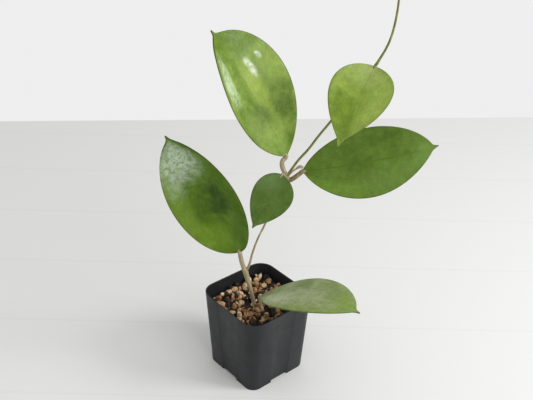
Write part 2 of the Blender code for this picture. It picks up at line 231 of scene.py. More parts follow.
class Nodes:
    """A material's node tree with short ways to add and join its nodes."""

    def __init__(self, name, roughness, specular=0.5):
        self.material = bpy.data.materials.new(name)
        self.material.use_nodes = True
        self.tree = self.material.node_tree
        self.shader = self.tree.nodes["Principled BSDF"]
        self.shader.inputs["Roughness"].default_value = roughness
        self.shader.inputs["Specular IOR Level"].default_value = specular
        self.coords = self.tree.nodes.new("ShaderNodeTexCoord")

    def add(self, kind, **settings):
        node = self.tree.nodes.new(kind)
        for key, value in settings.items():
            setattr(node, key, value)
        return node

    def link(self, source, target):
        if isinstance(source, (int, float)):
            target.default_value = source
        elif isinstance(source, tuple):
            target.default_value = (*source, 1.0) if len(source) == 3 else source
        else:
            self.tree.links.new(source, target)

    def object_place(self, scale=(1, 1, 1)):
        mapping = self.add("ShaderNodeMapping")
        mapping.inputs["Scale"].default_value = scale
        self.link(self.coords.outputs["Object"], mapping.inputs["Vector"])
        return mapping.outputs["Vector"]

    def noise(self, scale, detail=4.0, roughness=0.55, vector=None, distortion=0.0):
        node = self.add("ShaderNodeTexNoise")
        self.link(vector or self.object_place(), node.inputs["Vector"])
        node.inputs["Scale"].default_value = scale
        node.inputs["Detail"].default_value = detail
        node.inputs["Roughness"].default_value = roughness
        node.inputs["Distortion"].default_value = distortion
        return node.outputs["Fac"]

    def cells(self, scale, feature="F1"):
        node = self.add("ShaderNodeTexVoronoi", feature=feature)
        self.link(self.object_place(), node.inputs["Vector"])
        node.inputs["Scale"].default_value = scale
        return node.outputs["Distance"]

    def math(self, operation, a, b=0.0):
        node = self.add("ShaderNodeMath", operation=operation)
        self.link(a, node.inputs[0])
        self.link(b, node.inputs[1])
        return node.outputs[0]

    def between(self, value, low, high, to_low=0.0, to_high=1.0):
        """A smooth step of the value from low to high."""
        node = self.add("ShaderNodeMapRange", interpolation_type="SMOOTHSTEP")
        self.link(value, node.inputs["Value"])
        node.inputs["From Min"].default_value = low
        node.inputs["From Max"].default_value = high
        node.inputs["To Min"].default_value = to_low
        node.inputs["To Max"].default_value = to_high
        return node.outputs["Result"]

    def mix(self, amount, first, second):
        node = self.add("ShaderNodeMix", data_type="RGBA")
        self.link(amount, node.inputs["Factor"])
        self.link(first, node.inputs["A"])
        self.link(second, node.inputs["B"])
        return node.outputs["Result"]

    def ramp(self, value, stops):
        node = self.add("ShaderNodeValToRGB")
        self.link(value, node.inputs["Fac"])
        elements = node.color_ramp.elements
        while len(elements) < len(stops):
            elements.new(0.5)
        for element, (position, colour) in zip(elements, stops):
            element.position = position
            element.color = (*colour, 1.0)
        return node.outputs["Color"]

    def bump(self, height, distance, strength=1.0, below=None):
        node = self.add("ShaderNodeBump")
        node.inputs["Strength"].default_value = strength
        node.inputs["Distance"].default_value = distance
        self.link(height, node.inputs["Height"])
        if below is not None:
            self.link(below, node.inputs["Normal"])
        return node.outputs["Normal"]

    def oval(self, u, v, patch):
        """Squared distance from a patch's middle, 1 on its rim: (across, along, half-sizes)."""
        across, along, wide, long = patch
        du = self.math("DIVIDE", self.math("SUBTRACT", u, across), wide)
        dv = self.math("DIVIDE", self.math("SUBTRACT", v, along), long)
        return self.math("ADD", self.math("MULTIPLY", du, du), self.math("MULTIPLY", dv, dv))

    def around_half(self, value, amount):
        """How far a value lies from a half, times an amount."""
        return self.math("MULTIPLY", self.math("SUBTRACT", value, 0.5), amount)

    def finish(self, colour, roughness=None, normal=None):
        self.link(colour, self.shader.inputs["Base Color"])
        if roughness is not None:
            self.link(roughness, self.shader.inputs["Roughness"])
        if normal is not None:
            self.link(normal, self.shader.inputs["Normal"])
        return self.material


def pot_plastic():
    n = Nodes("pot_plastic", 0.48, 0.30)
    colour = n.ramp(n.noise(30, 3), [(0.3, (0.015, 0.016, 0.018)), (0.7, (0.019, 0.020, 0.023))])
    scuff = n.between(n.noise(900, 3, vector=n.object_place((1, 1, 0.25))), 0.64, 0.8)
    colour = n.mix(n.math("MULTIPLY", scuff, 0.12), colour, (0.08, 0.08, 0.085))
    rough = n.between(n.noise(90, 3), 0.3, 0.7, 0.42, 0.52)
    grain = n.bump(n.noise(2600, 2), 0.00004, 0.4)
    return n.finish(colour, rough, n.bump(n.noise(40, 2), 0.0004, 0.15, grain))


def leaf_face(name, deep, mid, light, patches=(), painted_sheen=(), rough=(0.30, 0.46),
              rib=0.35, specks=0.6):
    """The upper face of a blade: blotches, veins, specks, a dark margin and painted sheen.

    A patch is (across, along, half-width, half-length, colour, strength), where
    across and along run from 0 to 1 over the blade.  A painted sheen of highlights
    and reflected light is laid on last, in fine wrinkles, with the same six values.
    """
    n = Nodes(name, 0.38, 0.18)
    uv = n.add("ShaderNodeSeparateXYZ")
    n.link(n.coords.outputs["UV"], uv.inputs["Vector"])
    u, v = uv.outputs["X"], uv.outputs["Y"]
    off_mid = n.math("ABSOLUTE", n.math("SUBTRACT", u, 0.5))
    cloud = n.noise(38, 5, 0.6)
    blot = n.noise(95, 6, 0.65, distortion=0.6)
    tone = n.math("ADD", n.math("MULTIPLY", cloud, 0.6), n.math("MULTIPLY", blot, 0.4))
    colour = n.ramp(tone, [(0.40, deep), (0.5, mid), (0.60, light)])
    for *spot, tint, strength in patches:
        ragged = n.math("ADD", n.oval(u, v, spot), n.around_half(cloud, 3.0))
        ragged = n.math("ADD", ragged, n.around_half(blot, 2.6))
        inside = n.between(ragged, -0.5, 1.9, strength, 0.0)
        colour = n.mix(inside, colour, tint)
    mottle = n.noise(210, 6, 0.7)
    colour = n.mix(n.between(mottle, 0.36, 0.62, 0.0, 0.42), colour,
                   n.mix(0.5, colour, (0.02, 0.05, 0.003)))
    slant = n.math("MULTIPLY", off_mid, -9.0)
    rows = n.math("ADD", n.math("MULTIPLY", v, 9.0), slant)
    wander = n.around_half(n.noise(70, 3), 1.6)
    wave = n.math("SINE", n.math("MULTIPLY", n.math("ADD", rows, wander), math.tau))
    vein = n.between(wave, 0.93, 1.0)
    colour = n.mix(n.math("MULTIPLY", vein, 0.24), colour, light)
    net = n.cells(330, "DISTANCE_TO_EDGE")
    net_line = n.between(net, 0.0, 0.12, 1.0, 0.0)
    colour = n.mix(n.math("MULTIPLY", net_line, 0.07), colour, light)
    speck_noise = n.cells(520)
    speck_gate = n.between(n.noise(95, 3), 0.52, 0.66)
    speck = n.math("MULTIPLY", n.between(speck_noise, 0.10, 0.22, 1.0, 0.0), speck_gate)
    colour = n.mix(n.math("MULTIPLY", speck, specks), colour, (0.05, 0.045, 0.012))
    midrib = n.between(off_mid, 0.004, 0.016, 1.0, 0.0)
    midrib = n.math("MULTIPLY", midrib, n.between(v, 0.55, 1.0, 1.0, 0.25))
    colour = n.mix(n.math("MULTIPLY", midrib, rib), colour, deep)
    margin = n.between(off_mid, 0.478, 0.497)
    colour = n.mix(n.math("MULTIPLY", margin, 0.65), colour, (0.045, 0.06, 0.012))
    # painted sheen: highlights and the sheen of reflected light are painted into the colour last,
    # broken up by fine wrinkles
    sheen_crinkle = n.between(n.noise(150, 5, 0.62, distortion=1.6), 0.36, 0.60)
    wrinkled_sheen = n.math("ADD", 0.35, n.math("MULTIPLY", sheen_crinkle, 0.65))
    for *spot, tint, strength in painted_sheen:
        ragged = n.math("ADD", n.oval(u, v, spot), n.around_half(mottle, 1.4))
        inside = n.between(ragged, -0.1, 1.5, strength, 0.0)
        colour = n.mix(n.math("MULTIPLY", inside, wrinkled_sheen), colour, tint)
    shine = n.between(n.noise(120, 4, 0.6), 0.35, 0.65, *rough)
    height = n.math("ADD", n.math("MULTIPLY", vein, -0.5), n.math("MULTIPLY", mottle, 0.8))
    height = n.math("ADD", height, n.math("MULTIPLY", net_line, -0.12))
    pucker = n.bump(n.noise(85, 4, 0.6, distortion=0.4), 0.0011, 0.45)
    return n.finish(colour, shine, n.bump(height, 0.00022, 0.6, pucker))


def leaf_back(name, pale, dull):
    n = Nodes(name, 0.55, 0.35)
    uv = n.add("ShaderNodeSeparateXYZ")
    n.link(n.coords.outputs["UV"], uv.inputs["Vector"])
    off_mid = n.math("ABSOLUTE", n.math("SUBTRACT", uv.outputs["X"], 0.5))
    colour = n.ramp(n.noise(40, 5), [(0.3, dull), (0.7, pale)])
    colour = n.mix(n.between(n.noise(240, 5), 0.35, 0.65, 0.0, 0.2), colour, dull)
    ridge = n.between(off_mid, 0.006, 0.022, 1.0, 0.0)
    colour = n.mix(n.math("MULTIPLY", ridge, 0.5), colour, (0.30, 0.36, 0.14))
    bump = n.bump(n.noise(160, 4), 0.0004, 0.5)
    return n.finish(colour, None, bump)


def bark_skin(name, dark, mid, light, green=None):
    """Stem skin: lengthwise streaks, blotches and corky dots."""
    n = Nodes(name, 0.72, 0.3)
    long = n.object_place((1, 1, 0.22))
    streak = n.noise(620, 5, 0.6, vector=long)
    colour = n.ramp(streak, [(0.3, dark), (0.5, mid), (0.72, light)])
    blotch = n.noise(110, 4)
    colour = n.mix(n.between(blotch, 0.45, 0.62, 0.0, 0.55), colour, n.mix(0.5, dark, mid))
    if green:
        colour = n.mix(n.between(n.noise(60, 3), 0.42, 0.6, 0.0, 0.7), colour, green)
    cork = n.between(n.cells(900), 0.1, 0.25, 1.0, 0.0)
    colour = n.mix(n.math("MULTIPLY", cork, 0.35), colour, light)
    height = n.math("ADD", streak, n.math("MULTIPLY", cork, 0.4))
    return n.finish(colour, n.between(streak, 0.3, 0.7, 0.6, 0.85), n.bump(height, 0.0003, 0.7))


def grain_skin(name, stops, pit_shade, rough=0.9):
    """Broken mineral or bark: blotched colour with pits, bumped in and painted darker as shade.
    """
    n = Nodes(name, rough, 0.25)
    tone = n.noise(170, 3)
    colour = n.ramp(tone, stops)
    pits = n.between(n.cells(1100), 0.12, 0.34, 1.0, 0.0)
    # painted shade: the pits are darkened towards near black, as shade lying in them
    dark = n.mix(0.7, colour, (0.02, 0.012, 0.008))
    colour = n.mix(n.math("MULTIPLY", pits, pit_shade), colour, dark)
    dirt = n.between(n.noise(420, 5, 0.7), 0.48, 0.66)
    colour = n.mix(n.math("MULTIPLY", dirt, 0.5), colour, (0.05, 0.03, 0.018))
    height = n.math("SUBTRACT", n.noise(900, 5, 0.65), n.math("MULTIPLY", pits, 0.6))
    return n.finish(colour, None, n.bump(height, 0.0005, 0.8))


# ---------------------------------------------------------------- pot


def rounded_plate(side, corner, height):
    """A square plate with round corners, at a height, from a plane's bevelled corners."""
    bpy.ops.mesh.primitive_plane_add(size=side * MM, location=(0, 0, height * MM))
    plate = bpy.context.object
    edit(plate)
    bpy.ops.mesh.select_all(action="SELECT")
    bpy.ops.mesh.bevel(offset=corner * MM, segments=CORNER_STEPS, affect="VERTICES")
    leave_edit()
    place(plate)
    return plate


def tapered_block(foot_side, foot_corner, foot_height, top_side, top_corner, top_height):
    """A closed block between two rounded plates, its walls bridged by hand."""
    block = join([rounded_plate(foot_side, foot_corner, foot_height),
                  rounded_plate(top_side, top_corner, top_height)])
    edit(block)
    bpy.ops.mesh.select_all(action="SELECT")
    bpy.ops.mesh.delete(type="ONLY_FACE")
    bpy.ops.mesh.select_all(action="SELECT")
    bpy.ops.mesh.bridge_edge_loops()
    bpy.ops.mesh.select_all(action="DESELECT")
    for level in (foot_height, top_height):
        pick_verts(block, lambda v: abs(v.co.z - level * MM) < 0.00001)
        bpy.ops.mesh.edge_face_add()
    bpy.ops.mesh.select_all(action="SELECT")
    bpy.ops.mesh.normals_make_consistent(inside=False)
    leave_edit()
    return block


def pot_side(z):
    return POT_FOOT_SIDE + (POT_TOP_SIDE - POT_FOOT_SIDE) * z / POT_HEIGHT


def pot_corner(z):
    return POT_FOOT_CORNER + (POT_TOP_CORNER - POT_FOOT_CORNER) * z / POT_HEIGHT


def set_back_panel(block, quarter):
    """Cuts a tall panel into one side with slanted cuts and pushes it back a little."""
    turn = Matrix.Rotation(math.radians(90 * quarter), 3, "Z")
    out = turn @ Vector((1, 0, 0))
    across = turn @ Vector((0, 1, 0))
    lean = math.atan((PANEL_TOP_HALF - PANEL_FOOT_HALF) / POT_HEIGHT)
    edit(block)
    for sign in (-1, 1):
        pick_faces(block, lambda f: f.normal.dot(out) > 0.99)
        normal = (sign * across * math.cos(lean) - Vector((0, 0, math.sin(lean)))).normalized()
        point = across * sign * PANEL_FOOT_HALF * MM
        bpy.ops.mesh.bisect(plane_co=point, plane_no=normal)
    half = (PANEL_FOOT_HALF + PANEL_TOP_HALF) / 2
    pick_faces(block, lambda f: f.normal.dot(out) > 0.99
               and abs(f.calc_center_median().dot(across)) < half * 0.5 * MM)
    bpy.ops.mesh.inset(thickness=PANEL_STEP * MM, depth=-PANEL_DEPTH * MM, use_boundary=True)
    leave_edit()


def cut_with(piece, cutter):
    add_modifier(piece, "BOOLEAN", operation="DIFFERENCE", object=cutter, solver="EXACT")
    bpy.data.objects.remove(cutter)


def make_box(centre, size, turn=0.0):
    bpy.ops.mesh.primitive_cube_add(size=1, location=Vector(centre) * MM)
    cube = bpy.context.object
    cube.scale = Vector(size) * MM
    place(cube)
    cube.rotation_euler = (0, 0, math.radians(turn))
    place(cube)
    return cube


def make_pot(material):
    pot = tapered_block(POT_FOOT_SIDE, POT_FOOT_CORNER, 0,
                        POT_TOP_SIDE, POT_TOP_CORNER, POT_HEIGHT)
    for quarter in range(4):
        set_back_panel(pot, quarter)
    over = POT_HEIGHT + RIM_SPARE
    hollow = tapered_block(pot_side(POT_FLOOR) - 2 * POT_WALL, pot_corner(POT_FLOOR) - POT_WALL,
                           POT_FLOOR, pot_side(over) - 2 * POT_WALL,
                           pot_corner(over) - POT_WALL, over)
    length = CHANNEL_LENGTH + CUTTER_SPARE
    middle = POT_FOOT_SIDE / 2 - CHANNEL_LENGTH + length / 2
    for quarter in range(4):
        cover = make_box((middle - POT_WALL, 0, CHANNEL_HEIGHT / 2),
                         (length, CHANNEL_WIDTH + 2 * POT_WALL,
                          CHANNEL_HEIGHT + 2 * POT_FLOOR), 90 * quarter)
        cut_with(hollow, cover)
    cut_with(pot, hollow)
    for quarter in range(4):
        cut_with(pot, make_box((middle, 0, 0),
                               (length, CHANNEL_WIDTH, 2 * CHANNEL_HEIGHT), 90 * quarter))
        turn = math.radians(90 * quarter)
        reach = (POT_FOOT_SIDE / 2 - DRAIN_INSET) * MM
        bpy.ops.mesh.primitive_cylinder_add(vertices=DRAIN_SIDES, radius=DRAIN_RADIUS * MM,
                                            depth=2 * CHANNEL_HEIGHT * MM,
                                            location=(reach * math.cos(turn),
                                                      reach * math.sin(turn),
                                                      CHANNEL_HEIGHT * MM))
        cylinder = bpy.context.object
        place(cylinder)
        cut_with(pot, cylinder)
    add_modifier(pot, "BEVEL", width=POT_EDGE * MM, segments=2, limit_method="ANGLE",
                 angle_limit=math.radians(32))
    clean(pot, 0.000002)
    edit(pot)
    pick_verts(pot, lambda v: v.co.z < 0)
    bpy.ops.transform.resize(value=(1, 1, 0), center_override=(0, 0, 0))
    leave_edit()
    pot.data.materials.clear()
    pot.data.materials.append(material)
    smooth(pot, 35)
    return finish_piece(pot, "nursery_pot", ["pot"])


# ---------------------------------------------------------------- leaves


def blade_width(t, base_fullness, tip_fullness):
    """Half-width along a blade, 1 at its widest, with a short drawn-out tip."""
    u = min(t / (1 - TIP_LENGTH / 2), 1.0)
    widest = base_fullness / (base_fullness + tip_fullness)
    most = widest ** base_fullness * (1 - widest) ** tip_fullness
    body = u ** base_fullness * (1 - u) ** tip_fullness / most
    point = TIP_WIDTH * min((1 - t) / TIP_LENGTH, 1.0) if t > 0.5 else 0.0
    return max(body, point)


def row_share(row):
    """How far along the blade a row lies: rows crowd towards its two ends."""
    even = row / BLADE_ROWS
    crowded = 0.5 - 0.5 * math.cos(math.pi * even)
    return (1 - ROW_CROWDING) * even + ROW_CROWDING * crowded


def make_blade(length, width, base_fullness, tip_fullness, bend, cup, twist, lean,
               stalk_radius):
    """A blade along +Y with its upper face up, shaped row by row from a grid."""
    bpy.ops.mesh.primitive_grid_add(x_subdivisions=BLADE_COLUMNS, y_subdivisions=BLADE_ROWS,
                                    size=2, calc_uvs=True)
    blade = bpy.context.object
    across = BLADE_COLUMNS + 1
    cup, bend, twist = (math.radians(value) for value in (cup, bend, twist))
    edit(blade)
    for column in range(across):
        s = 2 * column / BLADE_COLUMNS - 1
        x = math.sin(cup * s) / cup * (1 + lean * s)
        z = (1 - math.cos(cup * s)) / cup
        groove = MIDRIB_GROOVE if column * 2 == BLADE_COLUMNS else 0.0
        pick_verts(blade, lambda v: v.index % across == column)
        bpy.ops.transform.translate(value=(x - s, 0, z + groove))
    for row in range(BLADE_ROWS + 1):
        share = row_share(row)
        y = 2 * row / BLADE_ROWS - 1
        foot = stalk_radius * FOOT_WIDTH * (1 - min(share / FOOT_LENGTH, 1))
        half = max(width / 2 * blade_width(share, base_fullness, tip_fullness), foot,
                   LEAST_HALF_WIDTH)
        pick_verts(blade, lambda v: v.index // across == row)
        bpy.ops.transform.translate(value=(0, share * length * MM - y, 0))
        bpy.ops.transform.resize(value=(half * MM, 1, half * MM),
                                 center_override=(0, share * length * MM, 0))
        turn_by(-twist * share, "Y", (0, share * length * MM, 0))
    place_y, place_z, slope = 0.0, 0.0, 0.0
    for row in range(BLADE_ROWS):
        step = row_share(row + 1) - row_share(row)
        pick_verts(blade, lambda v: v.index // across > row)
        turn_by(-bend * step, "X", (0, place_y * MM, place_z * MM))
        slope -= bend * step
        place_y += length * step * math.cos(slope)
        place_z += length * step * math.sin(slope)
    leave_edit()
    return blade


def crumple(piece, strength, size, seed, name):
    """Low waves pressed into a surface along its normals, strength in millimetres."""
    texture = bpy.data.textures.new(name, "CLOUDS")
    texture.noise_scale = size * MM
    texture.noise_depth = 2
    guide = bpy.data.objects.new(name, None)
    guide.location = [seed * step for step in GUIDE_STEP]
    bpy.context.scene.collection.objects.link(guide)
    bpy.context.view_layer.update()
    add_modifier(piece, "DISPLACE", texture=texture, strength=strength * MM, mid_level=0.5,
                 texture_coords="OBJECT", texture_coords_object=guide)
    bpy.data.objects.remove(guide)


def leaf_matrix(base, heading, pitch, roll):
    turn = Euler((math.radians(pitch), math.radians(roll), math.radians(heading)), "YXZ")
    return Matrix.Translation(Vector(base) * MM) @ turn.to_matrix().to_4x4()


def make_stem(name, stations, material):
    """A round stem through (x, y, z, radius) stations, from a bevelled curve."""
    bpy.ops.curve.primitive_bezier_curve_add(location=(0, 0, 0))
    stem = bpy.context.object
    curve = stem.data
    curve.splines.clear()
    curve.dimensions = "3D"
    curve.resolution_u = STEM_STEPS
    curve.bevel_depth = MM
    curve.bevel_resolution = STEM_SIDES
    curve.use_fill_caps = True
    spline = curve.splines.new("BEZIER")
    spline.bezier_points.add(len(stations) - 1)
    for point, (x, y, z, radius) in zip(spline.bezier_points, stations):
        point.co = Vector((x, y, z)) * MM
        point.radius = radius
        point.handle_left_type = "AUTO"
        point.handle_right_type = "AUTO"
    only(stem)
    bpy.ops.object.convert(target="MESH")
    stem = bpy.context.object
    clean(stem)
    crumple(stem, STEM_WRINKLE, WRINKLE_SIZE, len(stations), name)
    stem.data.materials.clear()
    stem.data.materials.append(material)
    smooth(stem, 60)
    return stem


def make_leaf(name, node, materials, stalk_material, stalk, base, heading, pitch, roll,
              length, width, base_fullness, tip_fullness, bend, cup, twist, lean=0.0,
              thickness=BLADE_THICKNESS, ripple=0.7, seed=1, levels=2):
    """One leaf: its blade with an upper and a lower face, and its stalk."""
    matrix = leaf_matrix(base, heading, pitch, roll)
    radius = stalk[-1][3]
    blade = make_blade(length, width, base_fullness, tip_fullness, bend, cup, twist, lean,
                       radius)
    if ripple:
        crumple(blade, ripple, WAVE_SIZE, seed, name)
    blade.data.materials.clear()
    for material in materials:
        blade.data.materials.append(material)
    add_modifier(blade, "SOLIDIFY", thickness=thickness * MM, offset=0.0,
                 material_offset=1, material_offset_rim=0)
    add_modifier(blade, "SUBSURF", levels=levels, render_levels=levels)
    blade.matrix_world = matrix
    place(blade)
    smooth(blade, 180)
    inner = matrix @ Vector((0, STALK_INSIDE * MM, 0)) / MM
    along = list(stalk) + [(*base, radius), (*inner, radius * STALK_END)]
    stem = make_stem(name + "_stalk", along, stalk_material)
    finish_piece(blade, name, [node])
    finish_piece(stem, name + "_stalk", [node])


# ---------------------------------------------------------------- scene


def make_light(name, place_at, size, power):
    light = bpy.data.lights.new(name, "AREA")
    light.shape = "RECTANGLE"
    light.size, light.size_y = size
    light.energy = power
    lamp = bpy.data.objects.new(name, light)
    bpy.context.scene.collection.objects.link(lamp)
    lamp.location = place_at
    aim = camera_space(0, 0, LAMP_AIM_HEIGHT) - place_at
    lamp.rotation_euler = aim.to_track_quat("-Z", "Y").to_euler()


def camera_space(right, away, up):
    """A place to the right of, beyond and above the pot, as the camera sees it."""
    return Matrix.Rotation(math.radians(CAMERA_HEADING), 3, "Z") @ Vector((right, away, up))


def make_camera():
    camera = bpy.data.objects.new("camera", bpy.data.cameras.new("camera"))
    bpy.context.scene.collection.objects.link(camera)
    turn = (Matrix.Rotation(math.radians(CAMERA_HEADING), 4, "Z")
            @ Matrix.Rotation(math.radians(90 - CAMERA_DIP), 4, "X")
            @ Matrix.Rotation(math.radians(CAMERA_ROLL), 4, "Z"))
    camera.matrix_world = Matrix.Translation(Vector(CAMERA_PLACE) * MM) @ turn
    camera.data.sensor_width = 36
    camera.data.lens = CAMERA_LENS
    camera.data.clip_start = 0.01
    bpy.context.scene.camera = camera


def make_floor():
    bpy.ops.mesh.primitive_plane_add(size=1, location=(0, 0, 0))
    floor = bpy.context.object
    floor.name = "floor"
    floor.scale = (2 * FLOOR_REACH * MM, (FLOOR_REACH + FLOOR_BEHIND) * MM, 1)
    floor.rotation_euler = (0, 0, math.radians(CAMERA_HEADING + FLOOR_YAW))
    back = Vector((0, (FLOOR_BEHIND - FLOOR_REACH) / 2 * MM, 0))
    floor.location = Matrix.Rotation(math.radians(CAMERA_HEADING + FLOOR_YAW), 3, "Z") @ back
    place(floor)
    n = Nodes("floor_paint", 0.6, 0.15)
    turned = n.add("ShaderNodeMapping", vector_type="TEXTURE")
    turned.inputs["Rotation"].default_value = (0, 0, math.radians(CAMERA_HEADING))
    n.link(n.coords.outputs["Object"], turned.inputs["Vector"])
    apart = n.add("ShaderNodeSeparateXYZ")
    n.link(turned.outputs["Vector"], apart.inputs["Vector"])
    across = n.math("ADD", apart.outputs["X"], n.math("MULTIPLY", apart.outputs["Y"], -0.35))
    # painted shade: the floor is painted darker towards the right and the front, where the window
    # lamp lights it most
    colour = n.mix(n.between(across, -0.25, 0.45), (0.86, 0.86, 0.84), (0.82, 0.82, 0.815))
    board = n.math("FRACT", n.math("DIVIDE", apart.outputs["Y"], BOARD_WIDTH * MM))
    gap = n.between(n.math("ABSOLUTE", n.math("SUBTRACT", board, 0.5)), 0.0, 0.02, 0.10, 0.0)
    colour = n.mix(gap, colour, (0.55, 0.54, 0.52))
    floor.data.materials.append(n.finish(colour))


def make_world():
    world = bpy.data.worlds.new("studio")
    bpy.context.scene.world = world
    world.use_nodes = True
    tree = world.node_tree
    light = tree.nodes["Background"]
    light.inputs["Color"].default_value = (1.0, 1.0, 1.0, 1.0)
    light.inputs["Strength"].default_value = AIR_LIGHT
    seen = tree.nodes.new("ShaderNodeBackground")
    seen.inputs["Color"].default_value = WALL_GREY
    path = tree.nodes.new("ShaderNodeLightPath")
    mix = tree.nodes.new("ShaderNodeMixShader")
    tree.links.new(path.outputs["Is Camera Ray"], mix.inputs["Fac"])
    tree.links.new(light.outputs["Background"], mix.inputs[1])
    tree.links.new(seen.outputs["Background"], mix.inputs[2])
    tree.links.new(mix.outputs["Shader"], tree.nodes["World Output"].inputs["Surface"])


def make_lights():
    make_light("window", camera_space(*WINDOW_PLACE), WINDOW_SIZE, WINDOW_POWER)
    make_light("room", camera_space(*ROOM_PLACE), ROOM_SIZE, ROOM_POWER)


# ---------------------------------------------------------------- the plant

MAIN_STEM = (
    (-0.9, -2.8, 58.5, 2.2),
    (-1.0, -3.2, 62.0, 1.9),
    (-1.5, -4.1, 68.5, 1.65),
    (-2.1, -5.2, 75.5, 1.75),
    (-3.7, -7.6, 87.0, 2.05),
    (-4.6, -8.9, 93.5, 2.3),
    (-5.0, -9.5, 96.5, 2.45),
    (-5.4, -10.2, 99.0, 2.2),
    (-5.6, -10.8, 101.0, 1.8),
)
SIDE_SHOOT = (
    (-4.8, -9.3, 97.5, 1.2),
    (-3.6, -8.2, 100.6, 1.05),
    (-1.5, -5.0, 116.0, 0.85),
    (0.7, -2.3, 128.0, 0.8),
    (4.4, 2.3, 143.0, 0.8),
    (9.4, 7.7, 164.0, 0.85),
    (13.0, 11.3, 177.0, 0.95),
    (14.6, 12.8, 182.5, 1.4),
    (15.3, 13.4, 185.5, 2.2),
    (15.7, 13.7, 188.5, 2.2),
    (15.9, 13.9, 190.2, 1.5),
    (16.0, 14.0, 190.7, 0.8),
)
VINE = (
    (16.0, 14.1, 189.4, 1.0),
    (16.9, 15.6, 192.0, 1.05),
    (19.8, 20.5, 200.8, 1.0),
    (24.6, 25.9, 210.5, 1.0),
    (30.0, 31.4, 223.0, 0.95),
    (35.6, 37.1, 235.0, 0.95),
    (45.2, 47.4, 257.7, 0.95),
    (51.2, 54.2, 271.5, 1.0),
    (55.6, 58.6, 280.6, 1.25),
    (57.6, 60.9, 286.6, 0.95),
    (59.5, 63.0, 292.6, 0.9),
    (61.2, 64.9, 300.0, 0.9),
    (62.4, 66.2, 309.0, 0.88),
    (63.0, 67.0, 318.5, 0.85),
    (63.2, 67.3, 328.2, 0.82),
    (62.4, 66.6, 343.0, 0.78),
    (60.0, 64.0, 357.0, 0.75),
    (57.6, 61.2, 364.0, 0.9),
    (56.8, 60.2, 366.0, 0.4),
)
DRY_SPUR = (
    (16.4, 13.5, 188.6, 0.9),
    (18.1, 13.5, 190.2, 0.75),
    (20.3, 14.8, 193.4, 0.7),
    (22.4, 17.2, 196.4, 0.8),
    (23.9, 18.9, 197.9, 1.3),
    (25.2, 20.6, 197.6, 1.1),
    (25.7, 21.3, 197.3, 0.5),
)


def make_stems(wood, green):
    for name, stations, material in (("main_stem", MAIN_STEM, wood),
                                     ("side_shoot", SIDE_SHOOT, wood),
                                     ("vine", VINE, green),
                                     ("dry_spur", DRY_SPUR, wood)):
        finish_piece(make_stem(name, stations, material), name + "_skin", [name])


